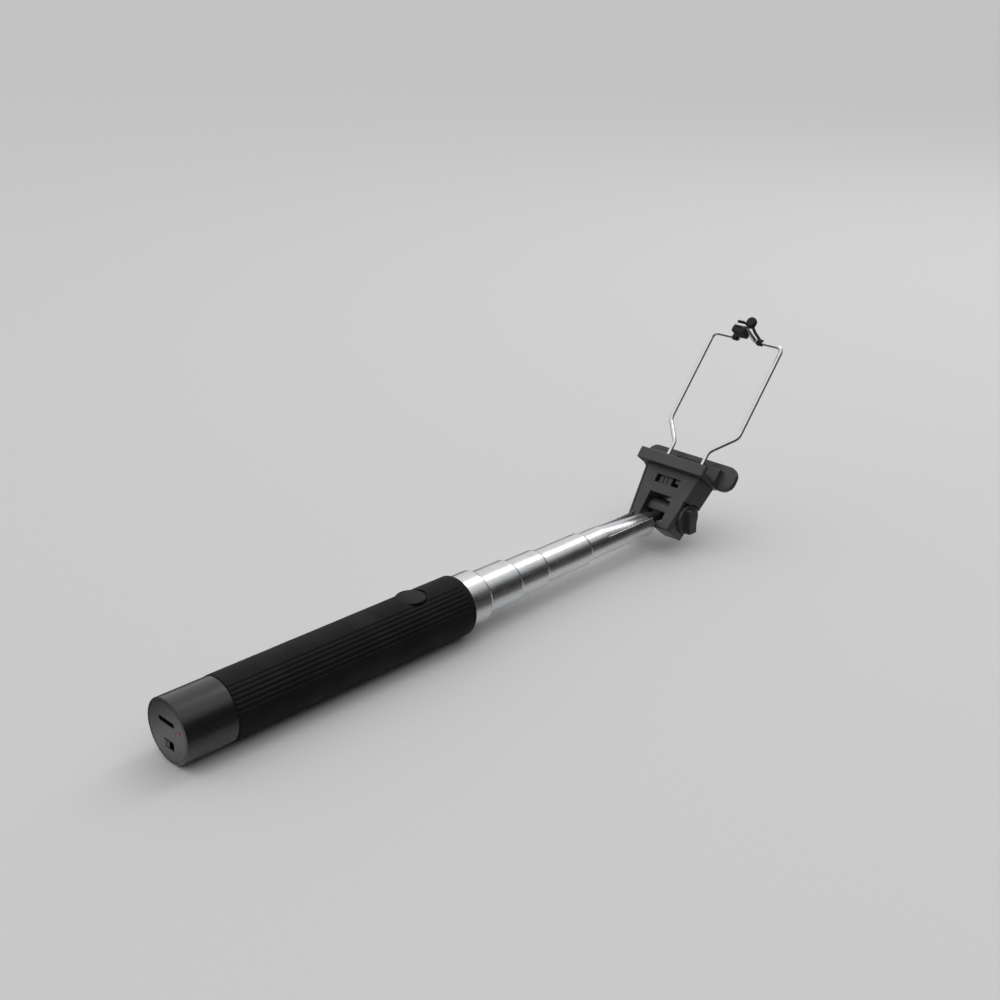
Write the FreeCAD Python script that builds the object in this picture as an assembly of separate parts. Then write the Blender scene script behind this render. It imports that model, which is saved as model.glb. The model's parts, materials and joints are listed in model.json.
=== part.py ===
import FreeCAD, Part
import math
import os
from FreeCAD import Vector, Placement, Rotation

# Compact telescopic selfie stick with a wireless shutter handle and a sprung phone clamp.
# Frame: +X along the stick from the rear face of the handle to the clamp, +Z up (button side).
# The tube axis is y = 0, z = 0. Millimetres, degrees.
# Names: _R radius, _W half width in y, pairs are (low, high) limits along one axis.

# ---------------------------------------------------------------- handle
HANDLE_Z = -0.4            # axis of the handle mouldings
CAP_R = 12.45
CAP_L = 20.7               # visible length of the rear cap
CAP_WALL = 2.0
CAP_BORE_R = 10.9
BORE_FIT_R = 10.5          # spigot and bulkhead, inside the largest tube
GRIP_R = 12.62
GRIP_END = 134.5           # front face of the rubber sleeve
GRIP_BORE_R = 11.12
GROOVE_R = 0.6             # cutter of each long groove
GROOVE_CENTRE_R = 12.87
GROOVE_END = 131.0
GROOVE_ANGLES = (119.5, 128.0, 136.5, 145.0, 153.5, 162.0)  # from +Y, repeated on the +Y side
CAP_SCREW_X = 26.0

# ---------------------------------------------------------------- tubes, largest first
TUBE_OUTER_R = (11.09, 9.51, 8.47, 7.54, 6.70)
TUBE_INNER_R = (10.59, 9.06, 8.05, 7.14, 6.30)
TUBE_REAR = (21.0, 58.0, 70.0, 92.0, 107.0)
TUBE_FRONT = (145.5, 164.5, 181.5, 209.7, 252.0)
LAST_R = TUBE_OUTER_R[4]
MOUTH_GAP = 0.05           # running gap at each rolled-in mouth
BUSH_L = (10.0, 8.0, 8.0, 8.0)
BUSH_OUT_GAP = 0.04        # running gap of each bush in the tube around it
BUSH_SEAT_GAP = 0.005      # gap of each bush on its own tube
KEY_HALF_DEG = 46.0        # half angle of the keyway in the largest bush
PRESS_X = 221.0            # rear end of the pressed valley in the last tube
PRESS_TILT = 5.7           # slope of the valley floor
PRESS_W = 5.45

# ---------------------------------------------------------------- button and electronics
BUTTON_X = 110.4
BUTTON_R = 6.2
BUTTON_BASE = 10.95
BUTTON_TOP = 12.3
BUTTON_LUG = (7.2, 2.35)   # half length and half width of the lug bar
LUG_ROOM = (7.4, 2.6)      # half length and half width of its room
TRAY_R = (9.62, 10.56)
TRAY_SEAT = 9.95           # floor of the recesses in the tray
DOME_R = 7.4
DOME_TOP = 10.4
USB_Z = 3.5
USB_W = 4.7                # charging slot
USB_H = 1.9
SOCKET_W = 3.75            # half width, half height and wall of the socket shell
SOCKET_HALF_H = 1.22
SOCKET_WALL = 0.3
LED_Y, LED_Z = -7.5, 2.1
LENS_R = 0.68
SWITCH_Y = (-3.4, 2.8)
SWITCH_Z = (-7.0, -3.6)
SWITCH_KNOB_Y = (-0.6, 2.6)
BOARD_Z = (0.9, 1.7)
SOLDER_Z = BOARD_Z[1] + 0.02  # underside of what stands on the board
# x low, x high, y low, y high, top z
CHIPS = ((11.0, 16.0, -2.5, 2.5, 2.7), (19.0, 22.2, -1.6, 1.6, 2.5),
         (24.5, 26.1, -4.0, -3.2, 2.2), (24.5, 26.1, -1.0, -0.2, 2.2),
         (24.5, 26.1, 2.0, 2.8, 2.2), (12.5, 15.7, 4.2, 5.7, 2.5))
RIBBON_X = 34.1            # where the ribbon drops to the board
LEAD_X = 7.9

# ---------------------------------------------------------------- tilt hinge
HINGE_X, HINGE_Z = 267.0, 0.8
ROOT_X = 232.0             # rear end of the lug inside the last tube
NECK_X = 248.0
NECK_R = 2.8
COLLAR_R = 3.55            # rounded collar at the open end of the last tube
COLLAR_X = (252.5, 256.4)
RIVET_X = 241.0
RIVET_R = 1.0
RIVET_HOLE_R = 1.02
BARREL_R = 3.0
CORE_R = 2.3               # inner part of the barrel, on the lug
BARREL_W = 5.9
LOBE_R = 5.4               # rounded side of the barrel, in the neck slot of the clamp
LOBE_FROM, LOBE_TO = 75.0, 162.0
BOLT_R = 1.25

# ---------------------------------------------------------------- clamp
# Drawn in its own frame: local x (_U) up the phone, y as the stick, local z (_N) out of
# the screen side.
CLAMP_TILT = 50.0          # clamp plane above the stick
BODY_N = (-3.2, 8.5)
BODY_U = (-9.5, 18.5)
BODY_W = (12.6, 16.5)      # half width at the bottom and at the top
SPLIT_N = 3.75             # joint plane of the two shells, also the plane of the wire legs
SHELL_GAP = 0.01           # each shell stops this far from the joint plane
POCKET_W = 6.5
POCKET_U = 6.2
NECK_SLOT_W = 3.8
LEG_Y = 9.8
LEG_END_U = 0.6
WIRE_R = 0.95
LEG_HOLE_R = WIRE_R + 0.08
CHANNEL_R = 1.75
CHANNEL_U = (-8.8, 16.4)
STOP_R = 1.5
STOP_L = 2.0
SPRING_R = 1.35            # mean coil radius
SPRING_WIRE_R = 0.18
SPRING_COILS = 9
SPRING_L = 13.0
SHELL_SCREW_U, SHELL_SCREW_Y = 12.5, 13.6
JAW_SCREW_Y, JAW_SCREW_N = 3.9, 5.5
BOLT_HEAD_Y = 12.2
KNOB_R = 6.9
SPOT_R = 7.2               # flat seat of the knob
SPOT_W = 12.9
KNOB_Y = (-14.7, -SPOT_W - 0.08)  # disc of the knob
WING_Y = -17.3             # outer face of the wing
JAW_W = 19.0
JAW_U = (18.6, 20.6)
JAW_N = (-5.2, 13.7)
LIP_T = 1.8
LIP_U = 24.0
BACK_PLATE_W = 26.0
BACK_PLATE_N = (-4.3, -1.5)
BACK_PLATE_U = 31.0        # top of the plate
FRAME_W = 19.6
FRAME_TOP = 91.7
FRAME_N = 1.4              # plane of the upper part of the wire frame
LOOP_N, LOOP_U = 12.4, 93.7
PULL_RING_Y = 6.9
TAB_R = 2.55
TAB_U = (98.6, 99.2)       # centres of the two round ends of the tab
TAB_N = (3.6, 6.5)

SIDES = (1, -1)            # +Y side, then -Y side
X_AXIS, Y_AXIS, Z_AXIS = Vector(1, 0, 0), Vector(0, 1, 0), Vector(0, 0, 1)

CLAMP_PLACE = Placement(Vector(HINGE_X, 0, 0), Rotation(Y_AXIS, -CLAMP_TILT))
PIVOT = CLAMP_PLACE.inverse().multVec(Vector(HINGE_X, 0, HINGE_Z))
PIVOT_U, PIVOT_N = PIVOT.x, PIVOT.z   # hinge axis in the clamp frame


# ---------------------------------------------------------------- helpers
def cyl_x(radius, start, end, y=0.0, z=0.0):
    return Part.makeCylinder(radius, end - start, Vector(start, y, z), X_AXIS)


def cyl_y(radius, start, end, x, z):
    return Part.makeCylinder(radius, end - start, Vector(x, start, z), Y_AXIS)


def cyl_z(radius, start, end, x, y):
    return Part.makeCylinder(radius, end - start, Vector(x, y, start), Z_AXIS)


def ring_x(inner, outer, start, end, y=0.0, z=0.0):
    return cyl_x(outer, start, end, y, z).cut(cyl_x(inner, start - 1, end + 1, y, z))


def ring_y(inner, outer, start, end, x, z):
    return cyl_y(outer, start, end, x, z).cut(cyl_y(inner, start - 1, end + 1, x, z))


def box(x_low, x_high, y_low, y_high, z_low, z_high):
    return Part.makeBox(x_high - x_low, y_high - y_low, z_high - z_low,
                        Vector(x_low, y_low, z_low))


def span(side, near, far):
    """Limits in y of something that lies near to far from the middle, on one side."""
    return sorted((side * near, side * far))


def prism(points, direction):
    """Extrude a closed polygon."""
    return Part.Face(Part.makePolygon(points + [points[0]])).extrude(direction)


def hexagon(radius, y_start, length):
    """Hexagonal bar along +Y on the hinge axis, in the clamp frame."""
    angles = [math.radians(60 * k) for k in range(6)]
    return prism([Vector(PIVOT_U + radius * math.cos(a), y_start, PIVOT_N + radius * math.sin(a))
                  for a in angles], Vector(0, length, 0))


def fuse(shapes):
    return shapes[0].multiFuse(shapes[1:]).removeSplitter()


def cut_all(shape, cutters):
    """Cut one after another, in order."""
    for cutter in cutters:
        shape = shape.cut(cutter)
    return shape


def round_edges(shape, radius, pick):
    """Fillet the edges whose bounding box passes the test."""
    # Guards a fillet that the kernel can't build: the shape is then left sharp.
    try:
        done = shape.makeFillet(radius, [e for e in shape.Edges if pick(e.BoundBox)])
        if done.isValid() and done.Volume > 0.3 * shape.Volume:
            return done
    except Exception:
        pass
    return shape


def rounded_box(radius, axis, *limits):
    """Box with its four edges along one axis, "X", "Y" or "Z", rounded."""
    return round_edges(box(*limits), radius,
                       lambda bounds: getattr(bounds, axis + "Length") > 0.1)


def sector(inner, outer, start, end, half_angle):
    """Part of a ring about the X axis, centred on +Z."""
    far = outer * 3.0
    points = [Vector(start - 0.5, 0, 0)]
    for step in (-1, -0.5, 0, 0.5, 1):
        angle = math.radians(90 + step * half_angle)
        points.append(Vector(start - 0.5, far * math.cos(angle), far * math.sin(angle)))
    wedge = prism(points, Vector(end - start + 1.0, 0, 0))
    return ring_x(inner, outer, start, end).common(wedge)


def cut_cross(screw, centre, axis, half_depth):
    """Cut a cross slot in a screw head; axis 0, 1 or 2 is that of the screw."""
    for halves in ([0.25, 1.0], [1.0, 0.25]):
        halves.insert(axis, half_depth)
        half = Vector(*halves)
        screw = screw.cut(Part.makeBox(2 * half.x, 2 * half.y, 2 * half.z, centre - half))
    return screw


def sweep_round(path, radius, start, direction):
    profile = Part.Wire([Part.makeCircle(radius, start, direction)])
    return path.makePipeShell([profile], True, True)


def bent_wire(points, bend_radii, radius):
    """Round bar swept along a polyline whose corners are bent to the given radii."""
    edges = []
    last = points[0]
    for before, corner, after, bend in zip(points, points[1:], points[2:], bend_radii):
        back = (before - corner).normalize()
        ahead = (after - corner).normalize()
        half_angle = math.acos(back.dot(ahead)) / 2.0
        trim = bend / math.tan(half_angle)
        arc_start = corner + back * trim
        arc_end = corner + ahead * trim
        inward = (back + ahead).normalize()
        middle = corner + inward * (bend / math.sin(half_angle) - bend)
        edges.append(Part.makeLine(last, arc_start))
        edges.append(Part.Arc(arc_start, middle, arc_end).toShape())
        last = arc_end
    edges.append(Part.makeLine(last, points[-1]))
    return sweep_round(Part.Wire(edges), radius, points[0], points[1] - points[0])


def in_clamp(shape):
    """Move a shape from the clamp frame to the stick frame."""
    placed = shape.copy()
    placed.Placement = CLAMP_PLACE.multiply(placed.Placement)
    return placed


def save(name, shape):
    """Export one shape, or a list of shapes as a compound."""
    if isinstance(shape, list):
        shape = Part.makeCompound(shape)
    shape.exportStep("parts/%s.step" % name)


# ---------------------------------------------------------------- handle mouldings
def rear_cap():
    cap = cyl_x(CAP_R, 0, CAP_L, z=HANDLE_Z)
    cap = round_edges(cap, 0.4, lambda bounds: abs(bounds.XMin) < 1e-4 and abs(bounds.XMax) < 1e-4)
    cap = round_edges(cap, 0.3, lambda bounds: bounds.XMin > CAP_L - 0.01)
    cap = fuse([cap, cyl_x(BORE_FIT_R, CAP_L - 0.5, 30.0)])
    through = (-1, CAP_WALL + 1)
    cap = cut_all(cap, [
        cyl_x(CAP_BORE_R, CAP_WALL, CAP_L - 2.0, z=HANDLE_Z),
        cyl_x(9.4, CAP_L - 2.5, 31.0),
        rounded_box(0.8, "X", *through, -USB_W, USB_W, USB_Z - USB_H / 2, USB_Z + USB_H / 2),
        cyl_x(0.72, *through, y=LED_Y, z=LED_Z),
        rounded_box(0.5, "X", *through, *SWITCH_Y, *SWITCH_Z),
        # shallow ring groove in the rear face
        ring_x(11.25, 11.55, -1, 0.35, z=HANDLE_Z),
    ])
    # screw pilot holes in the spigot
    cap = cut_all(cap, [cyl_y(0.78, *span(side, 7.0, 12.0), CAP_SCREW_X, 0.0) for side in SIDES])
    # ribs inside the cap that carry the board
    rib_x = (4.5, 18.8)
    for y in (-8.8, 8.0):
        rib = box(*rib_x, y, y + 0.8, -0.5, 0.85)
        cap = cap.fuse(rib.common(cyl_x(CAP_BORE_R + 0.05, 4, 19, z=HANDLE_Z)))
    for side in SIDES:
        rib = box(*rib_x, *span(side, 8.0, 10.0), -0.4, 0.85)
        cap = cap.fuse(rib.common(cyl_x(CAP_BORE_R + 0.05, 4, 19, z=HANDLE_Z)))
    return cap.removeSplitter()


def grip_sleeve():
    rear = CAP_L + 0.05
    sleeve = cyl_x(GRIP_R, rear, GRIP_END, z=HANDLE_Z)
    sleeve = round_edges(sleeve, 1.15, lambda bounds: bounds.XMin > GRIP_END - 0.01)
    sleeve = round_edges(sleeve, 0.3,
                         lambda bounds: bounds.XMax < rear + 0.01 and bounds.YLength > 20)
    sleeve = sleeve.cut(cyl_x(GRIP_BORE_R, 0, 140))
    for angle in GROOVE_ANGLES:
        for turned in (angle, 180.0 - angle):
            y = GROOVE_CENTRE_R * math.cos(math.radians(turned))
            z = HANDLE_Z + GROOVE_CENTRE_R * math.sin(math.radians(turned))
            sleeve = sleeve.cut(cyl_x(GROOVE_R, CAP_L - 1, GROOVE_END, y, z))
            sleeve = sleeve.cut(Part.makeSphere(GROOVE_R, Vector(GROOVE_END, y, z)))
    lug_x, lug_y = LUG_ROOM
    sleeve = cut_all(sleeve, [
        cyl_z(BUTTON_R + 0.12, 0, 20, BUTTON_X, 0),
        # channel of the ribbon
        sector(GRIP_BORE_R - 1, 11.34, 32.5, BUTTON_X, 13.0),
        box(BUTTON_X - lug_x, BUTTON_X + lug_x, -lug_y, lug_y, 9.5, 11.45),
    ])
    # shallow rooms for the screw heads
    return cut_all(sleeve, [cyl_y(1.8, *span(side, 10.0, 11.9), CAP_SCREW_X, 0.0)
                            for side in SIDES])


# ---------------------------------------------------------------- telescopic tubes
def rolled_tube(index):
    """Tube whose front end is rolled in to run on the next tube."""
    outer, inner = TUBE_OUTER_R[index], TUBE_INNER_R[index]
    rear, front = TUBE_REAR[index], TUBE_FRONT[index]
    mouth = TUBE_OUTER_R[index + 1] + MOUTH_GAP
    step = outer - mouth
    # x, radius
    outline = [
        (rear, outer), (front - 1.5, outer),
        (front - 0.75, outer - 0.22 * step), (front - 0.25, outer - 0.55 * step),
        (front, mouth + 0.3 * (step - (outer - inner)) + 0.08), (front, mouth),
        (front - 0.5, mouth), (front - 1.1, mouth + 0.35 * (inner - mouth)),
        (front - 1.9, inner), (rear, inner)]
    points = [Vector(x, 0, radius) for x, radius in outline]
    face = Part.Face(Part.makePolygon(points + [points[0]]))
    return face.revolve(Vector(0, 0, 0), X_AXIS, 360)


def outer_tube():
    lug_x, lug_y = LUG_ROOM
    opening = fuse([cyl_z(BUTTON_R + 0.2, 0, 14, BUTTON_X, 0),
                    box(BUTTON_X - lug_x, BUTTON_X + lug_x, -lug_y, lug_y, 5, 14)])
    ribbon_slot = box(33.4, 35.0, -2.3, 2.3, 8, 14)
    screw_holes = [cyl_y(0.95, *span(side, 7.0, 12.0), CAP_SCREW_X, 0.0) for side in SIDES]
    return cut_all(rolled_tube(0), [opening, ribbon_slot] + screw_holes)


def sunk_bar(radius):
    """Round bar whose axis sinks along the valley."""
    tilt = math.radians(PRESS_TILT)
    along = Vector(math.cos(tilt), 0, -math.sin(tilt))
    start = Vector(PRESS_X, 0, 0) - along * 6.0
    return Part.makeCylinder(radius, 60.0, start, along)


def press(bar, half_width, radius):
    """Remove the part of a bar above the sunk surface, between the two ridges."""
    block = box(PRESS_X, 270.0, -half_width, half_width, 0.0, 9.0)
    return bar.cut(block.cut(sunk_bar(radius)))


def tube_5():
    """Last tube: the top of its front end is pressed down into a valley that grips the lug."""
    rear, front, inner = TUBE_REAR[4], TUBE_FRONT[4], TUBE_INNER_R[4]
    outside = cyl_x(LAST_R, rear, front)
    outside = round_edges(outside, 0.35, lambda bounds: bounds.XMin > front - 0.01)
    inside = cyl_x(inner, rear - 1, front + 1)
    tube = press(outside, PRESS_W, LAST_R).cut(press(inside, PRESS_W + 0.4, inner))
    return tube.cut(cyl_z(RIVET_HOLE_R, -9, 0, RIVET_X, 0))


def friction_bush(index):
    """Bush on the rear end of a sliding tube, inside the tube before it."""
    inner = TUBE_OUTER_R[index] + BUSH_SEAT_GAP
    outer = TUBE_INNER_R[index - 1] - BUSH_OUT_GAP
    rear = TUBE_REAR[index]
    front = rear + BUSH_L[index - 1]
    bush = ring_x(inner, outer, rear, front)
    if index == 1:
        bush = bush.cut(sector(inner - 1, outer + 1, rear - 1, front + 1, KEY_HALF_DEG))
    else:
        bush = bush.cut(box(rear - 1, front + 1, -0.6, 0.6, 0, 20))
    # shallow grease grooves round the bush
    return cut_all(bush, [ring_x(outer - 0.12, outer + 1, x - 0.3, x + 0.3)
                          for x in (rear + 2.0, rear + BUSH_L[index - 1] - 2.0)])


# ---------------------------------------------------------------- electronics
def control_board():
    board = cut_all(box(2.7, 36.9, -7.9, 7.9, *BOARD_Z), [
        box(30.2, 40, 6.2, 9, 0, 3), box(30.2, 40, -9, -6.2, 0, 3),
        cyl_z(1.0, 0, 3, 20.0, 5.5), cyl_z(1.0, 0, 3, 20.0, -5.5)])
    return fuse([board] + [box(*chip[:4], BOARD_Z[1], chip[4]) for chip in CHIPS])


def charging_socket_shell():
    inner_w, inner_h = SOCKET_W - SOCKET_WALL, SOCKET_HALF_H - SOCKET_WALL
    shell = rounded_box(0.6, "X", 2.1, 7.3, -SOCKET_W, SOCKET_W,
                        USB_Z - SOCKET_HALF_H, USB_Z + SOCKET_HALF_H)
    shell = shell.cut(rounded_box(0.4, "X", 1.5, 6.9, -inner_w, inner_w,
                                  USB_Z - inner_h, USB_Z + inner_h))
    legs = [box(x, x + 0.8, y, y + 0.3, SOLDER_Z, USB_Z - 1.1)
            for x in (3.0, 6.2) for y in (-3.3, 3.0)]
    return fuse([shell] + legs)


def charging_socket_tongue():
    front = 6.88
    tongue = fuse([box(2.6, front, -1.75, 1.75, USB_Z - 0.1, USB_Z + 0.5),
                   box(6.0, front, -3.25, 3.25, USB_Z - 0.78, USB_Z + 0.78)])
    for k in range(5):
        y = -1.3 + 0.65 * k
        tongue = tongue.cut(box(2.5, 5.8, y - 0.12, y + 0.12, USB_Z - 0.2, USB_Z - 0.02))
    return tongue


def status_led_lens():
    tip = Part.makeSphere(LENS_R, Vector(0.3, LED_Y, LED_Z)).common(box(-1, 0.31, -10, 0, 0, 5))
    return fuse([cyl_x(LENS_R, 0.15, 2.55, y=LED_Y, z=LED_Z), tip])


def status_led():
    return box(2.72, 4.3, LED_Y - 0.38, LED_Y + 0.62, SOLDER_Z, 2.6)


def power_switch_housing():
    housing = box(2.1, 6.1, -4.2, 3.6, -7.5, -3.1).cut(box(2.0, 4.9, -3.3, 2.7, -6.2, -4.5))
    return fuse([housing] + [box(3.4, 3.9, y, y + 0.5, -3.2, 0.88) for y in (-2.7, -0.4, 1.8)])


def power_switch_slider():
    low, high = SWITCH_KNOB_Y
    slider = fuse([box(-0.1, 2.0, low, high, -6.6, -4.0),
                   box(1.9, 4.6, low + 0.1, high - 0.1, -5.9, -4.8)])
    return cut_all(slider, [box(-1, 0.8, y - 0.23, y + 0.23, -7, -3.5) for y in (0.35, 1.45)])


def battery_cell():
    return rounded_box(1.4, "X", 9.0, 35.4, -5.9, 5.9, -6.9, -0.6)


def battery_leads():
    return [bent_wire([Vector(8.98, y, -3.2), Vector(LEAD_X, y, -3.2), Vector(LEAD_X, y, 0.86)],
                      [0.8], 0.35) for y in (-2.0, 2.0)]


def board_bulkhead():
    board_slot = box(36.0, 37.0, -6.3, 6.3, BOARD_Z[0] - 0.05, BOARD_Z[1] + 0.05)
    return cut_all(cyl_x(BORE_FIT_R, 36.2, 40.5), [board_slot, cyl_x(8.6, 37.4, 41)])


# ---------------------------------------------------------------- shutter button
def button_ribbon():
    return fuse([sector(11.1, 11.27, RIBBON_X, BUTTON_X - 7.6, 10.5),
                 box(RIBBON_X, RIBBON_X + 0.2, -2.0, 2.0, SOLDER_Z, 11.2)])


def button_tray():
    lug_x, lug_y = LUG_ROOM
    return cut_all(sector(*TRAY_R, BUTTON_X - 9.5, BUTTON_X + 9.5, 42.0), [
        cyl_z(BUTTON_R - 0.6, TRAY_SEAT, 14, BUTTON_X, 0),
        box(BUTTON_X - lug_x, BUTTON_X + lug_x, -lug_y, lug_y, TRAY_SEAT, 14)])


def button_dome():
    centre = Vector(BUTTON_X, 0, DOME_TOP - DOME_R)
    dome = Part.makeSphere(DOME_R, centre).common(cyl_z(2.4, TRAY_SEAT + 0.01, 11, BUTTON_X, 0))
    return dome.cut(Part.makeSphere(DOME_R - 0.1, centre))


def shutter_button():
    def crown(radius, top):
        return Part.makeSphere(radius, Vector(BUTTON_X, 0, top - radius))

    button = cyl_z(BUTTON_R, BUTTON_BASE, BUTTON_TOP, BUTTON_X, 0)
    button = button.common(crown(34.0, BUTTON_TOP + 0.25))
    button = fuse([button, cyl_z(BUTTON_R, BUTTON_BASE, BUTTON_TOP - 0.2, BUTTON_X, 0)])
    button = button.common(crown(31.0, BUTTON_TOP))
    button = round_edges(button, 0.45, lambda bounds: bounds.ZMin > BUTTON_TOP - 1.2
                         and bounds.XLength > 12)
    lug_x, lug_y = BUTTON_LUG
    return fuse([button,
                 box(BUTTON_X - lug_x, BUTTON_X + lug_x, -lug_y, lug_y, 10.55, 11.1),
                 cyl_z(1.2, DOME_TOP + 0.02, 11.0, BUTTON_X, 0)])


def cap_screws():
    screws = []
    for side in SIDES:
        screw = fuse([cyl_y(0.76, *span(side, 7.4, 11.2), CAP_SCREW_X, 0.0),
                      cyl_y(1.5, *span(side, 11.12, 11.8), CAP_SCREW_X, 0.0)])
        screws.append(cut_cross(screw, Vector(CAP_SCREW_X, side * 11.75, 0), 1, 0.25))
    return screws


# ---------------------------------------------------------------- tilt hinge
def hinge_lug():
    root = cyl_x(6.25, ROOT_X, TUBE_FRONT[4] - 0.6).common(sunk_bar(6.22))
    neck = cyl_x(NECK_R, NECK_X, HINGE_X - 0.5)
    collar = cyl_x(COLLAR_R, *COLLAR_X, z=0.1)
    collar = round_edges(collar, 1.1, lambda bounds: bounds.XMin > COLLAR_X[1] - 0.01)
    barrel = cyl_y(CORE_R, -BARREL_W, BARREL_W, HINGE_X, HINGE_Z)
    lug = fuse([root, neck, collar, barrel]).cut(cyl_y(BOLT_R + 0.04, -9, 9, HINGE_X, HINGE_Z))
    return lug.cut(cyl_z(RIVET_HOLE_R, -9, 0.2, RIVET_X, 0))


def hinge_cover():
    """Cover moulded round the barrel, with a larger rounded lobe on its upper side."""
    points = [Vector(HINGE_X, -BARREL_W, HINGE_Z)]
    for k in range(7):
        angle = math.radians(LOBE_FROM + (LOBE_TO - LOBE_FROM) * k / 6.0)
        points.append(Vector(HINGE_X + 9.0 * math.cos(angle), -BARREL_W,
                             HINGE_Z + 9.0 * math.sin(angle)))
    lobe = prism(points, Vector(0, 2 * BARREL_W, 0))
    lobe = lobe.common(cyl_y(LOBE_R, -BARREL_W, BARREL_W, HINGE_X, HINGE_Z))
    cover = fuse([cyl_y(BARREL_R, -BARREL_W, BARREL_W, HINGE_X, HINGE_Z), lobe])

    def on_lobe_end(bounds):
        return (abs(bounds.YLength - 2 * BARREL_W) < 0.01 and bounds.ZMax > HINGE_Z + 1.5
                and bounds.XMax < HINGE_X + 1.5
                and math.hypot(bounds.XMin - HINGE_X, bounds.ZMin - HINGE_Z) > LOBE_R - 0.05)

    cover = round_edges(cover, 0.35, on_lobe_end)
    cover = cut_all(cover, [cyl_y(CORE_R + 0.01, -9, 9, HINGE_X, HINGE_Z),
                            cyl_x(NECK_R + 0.02, NECK_X, HINGE_X - 0.48)])
    return max(cover.Solids, key=lambda solid: solid.Volume)


def lug_rivet():
    rivet = fuse([cyl_z(RIVET_R, -LAST_R - 0.22, 0.0, RIVET_X, 0),
                  cyl_z(1.7, -LAST_R - 0.45, -LAST_R - 0.01, RIVET_X, 0)])
    rivet = round_edges(rivet, 0.2, lambda bounds: bounds.ZMax < -LAST_R - 0.4)
    return rivet.removeSplitter()


# ---------------------------------------------------------------- clamp body (clamp frame)
def half_width(u):
    low, high = BODY_W
    return low + (high - low) * (u - BODY_U[0]) / (BODY_U[1] - BODY_U[0])


def clamp_body():
    """Both shells in one block, before they are parted."""
    (bottom, top), (back, face) = BODY_U, BODY_N
    body = prism([Vector(bottom, -BODY_W[0], back), Vector(bottom, BODY_W[0], back),
                  Vector(top, BODY_W[1], back), Vector(top, -BODY_W[1], back)],
                 Vector(0, 0, face - back))
    body = body.makeChamfer(1.5, [e for e in body.Edges if e.BoundBox.ZMin > face - 0.01
                                  and e.BoundBox.XLength > 20])
    body = round_edges(body, 0.8,
                       lambda bounds: bounds.XMax < bottom + 1.2 and bounds.YLength > 15)
    # pocket of the hinge barrel and the slot its neck swings in
    cutters = [box(-POCKET_U, POCKET_U, -POCKET_W, POCKET_W, back + 0.6, 20),
               box(-20, POCKET_U, -NECK_SLOT_W, NECK_SLOT_W, -20, 20)]
    # channels of the sprung wire legs
    for side in SIDES:
        cutters += [cyl_x(CHANNEL_R, *CHANNEL_U, side * LEG_Y, SPLIT_N),
                    cyl_x(LEG_HOLE_R, 16.0, 21.0, side * LEG_Y, SPLIT_N)]
    # room of the core and its window in the front face
    cutters += [box(8.0, 16.0, -6.9, 6.9, 0.0, 7.0), box(11.0, 15.0, -6.4, 6.9, 6.5, 9.0)]
    # bolt hole, flat knob seat on the -Y side, hexagon room of the bolt head on the +Y side
    cutters += [cyl_y(BOLT_R + 0.05, -20, 20, PIVOT_U, PIVOT_N),
                cyl_y(SPOT_R, -20, -SPOT_W, PIVOT_U, PIVOT_N),
                box(PIVOT_U - 5.6, PIVOT_U + 5.6, -20, -SPOT_W, PIVOT_N + 4.0, 12),
                hexagon(3.0, BOLT_HEAD_Y - 0.05, 6)]
    for side in SIDES:
        cutters += [cyl_z(0.82, -5, 6.5, SHELL_SCREW_U, side * SHELL_SCREW_Y),
                    cyl_z(1.6, -6, -1.9, SHELL_SCREW_U, side * SHELL_SCREW_Y),
                    cyl_x(0.82, 13.4, 19.4, side * JAW_SCREW_Y, JAW_SCREW_N)]
    # fine groove along the +Y side of the front face
    low, high = bottom - 1, top + 1
    cutters.append(prism([Vector(u, half_width(u) - inset, face - 0.5) for u, inset in
                          ((low, 2.2), (high, 2.2), (high, 1.8), (low, 1.8))],
                         Vector(0, 0, 3)))
    return cut_all(body, cutters)


def clamp_back_shell():
    return clamp_body().common(box(-60, 60, -60, 60, -60, SPLIT_N - SHELL_GAP))


def clamp_front_shell():
    return clamp_body().common(box(-60, 60, -60, 60, SPLIT_N + SHELL_GAP, 60))


def clamp_core():
    core = fuse([box(8.1, 10.7, -6.8, 6.8, 0.1, 6.6), box(8.1, 15.8, -1.2, 5.9, 0.1, 6.85),
                 box(13.1, 15.8, -6.8, -2.9, 0.1, 6.6), box(13.6, 15.8, -4.5, -1.0, 0.1, 4.4)])
    return cut_all(core, [box(10.9, 14.6, y, y + 0.5, 6.4, 7.2) for y in (1.0, 3.2)]
                   + [cyl_x(0.84, 13.2, 19.2, side * JAW_SCREW_Y, JAW_SCREW_N) for side in SIDES])


def shell_screws():
    screws = []
    for side in SIDES:
        y = side * SHELL_SCREW_Y
        screw = fuse([cyl_z(0.8, -2.1, 6.2, SHELL_SCREW_U, y),
                      cyl_z(1.5, -3.15, -1.92, SHELL_SCREW_U, y)])
        screws.append(cut_cross(screw, Vector(SHELL_SCREW_U, y, -3.05), 2, 0.35))
    return screws


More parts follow.
